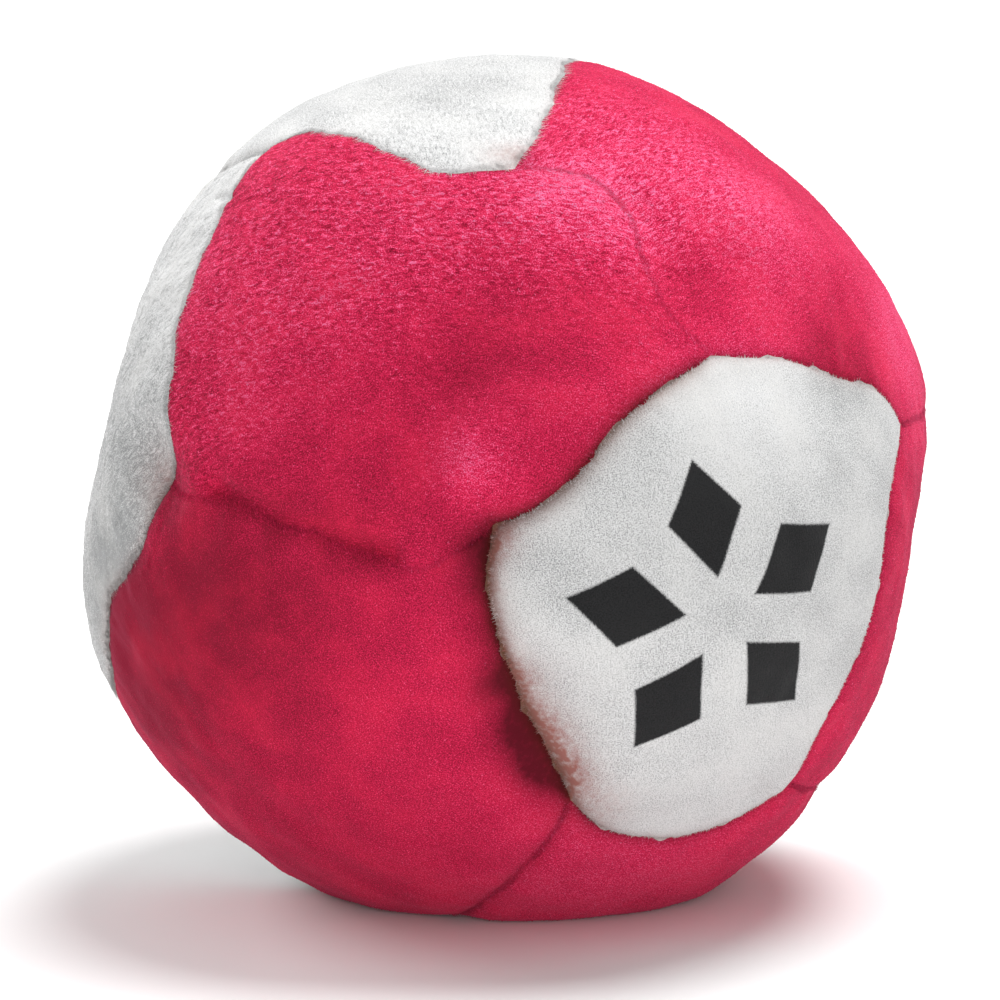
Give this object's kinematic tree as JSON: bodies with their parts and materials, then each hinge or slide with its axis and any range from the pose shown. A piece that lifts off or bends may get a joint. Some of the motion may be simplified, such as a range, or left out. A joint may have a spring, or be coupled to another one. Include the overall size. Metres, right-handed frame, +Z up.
{
  "type": "footbag",
  "caption": "Soft footbag of short-napped suede pentagons, sewn together inside out and filled with loose pellets, resting on the flat that its own weight has pressed.",
  "frame": {"origin": "on the surface that the bag rests on, under the middle of the bag's outline as seen from above", "axes": "+Z up from that surface, -Y out of the side that the picture shows, +X to the right of that side"},
  "size_m": [0.0544, 0.0554, 0.0545],
  "materials": {
    "red_suede": "short, brushed nap, fully matt",
    "white_suede": "short, brushed nap, fully matt",
    "sewing_thread": "twisted polyester thread",
    "pellets": "small moulded pellets"
  },
  "bodies": {
    "root": {"panel_front": "white_suede", "panel_upper_left": "red_suede", "panel_lower_left": "red_suede", "panel_bottom": "red_suede", "panel_right": "red_suede", "panel_upper_right": "red_suede", "panel_top": "white_suede", "panel_left": "white_suede", "panel_low_left": "white_suede", "panel_low_back": "white_suede", "panel_back_right": "white_suede", "panel_back_left": "red_suede", "thread_front_to_lower_left": "sewing_thread", "thread_front_to_bottom": "sewing_thread", "thread_front_to_right": "sewing_thread", "thread_front_to_upper_right": "sewing_thread", "thread_front_to_upper_left": "sewing_thread", "thread_upper_left_to_upper_right": "sewing_thread", "thread_upper_left_to_top": "sewing_thread", "thread_upper_left_to_left": "sewing_thread", "thread_upper_left_to_lower_left": "sewing_thread", "thread_lower_left_to_left": "sewing_thread", "thread_lower_left_to_low_left": "sewing_thread", "thread_lower_left_to_bottom": "sewing_thread", "thread_bottom_to_low_left": "sewing_thread", "thread_bottom_to_low_back": "sewing_thread", "thread_bottom_to_right": "sewing_thread", "thread_right_to_low_back": "sewing_thread", "thread_right_to_back_right": "sewing_thread", "thread_right_to_upper_right": "sewing_thread", "thread_upper_right_to_back_right": "sewing_thread", "thread_upper_right_to_top": "sewing_thread", "thread_top_to_back_right": "sewing_thread", "thread_top_to_back_left": "sewing_thread", "thread_top_to_left": "sewing_thread", "thread_left_to_back_left": "sewing_thread", "thread_left_to_low_left": "sewing_thread", "thread_low_left_to_back_left": "sewing_thread", "thread_low_left_to_low_back": "sewing_thread", "thread_low_back_to_back_left": "sewing_thread", "thread_low_back_to_back_right": "sewing_thread", "thread_back_right_to_back_left": "sewing_thread", "pellet_filling": "pellets"}
  },
  "joints": []
}
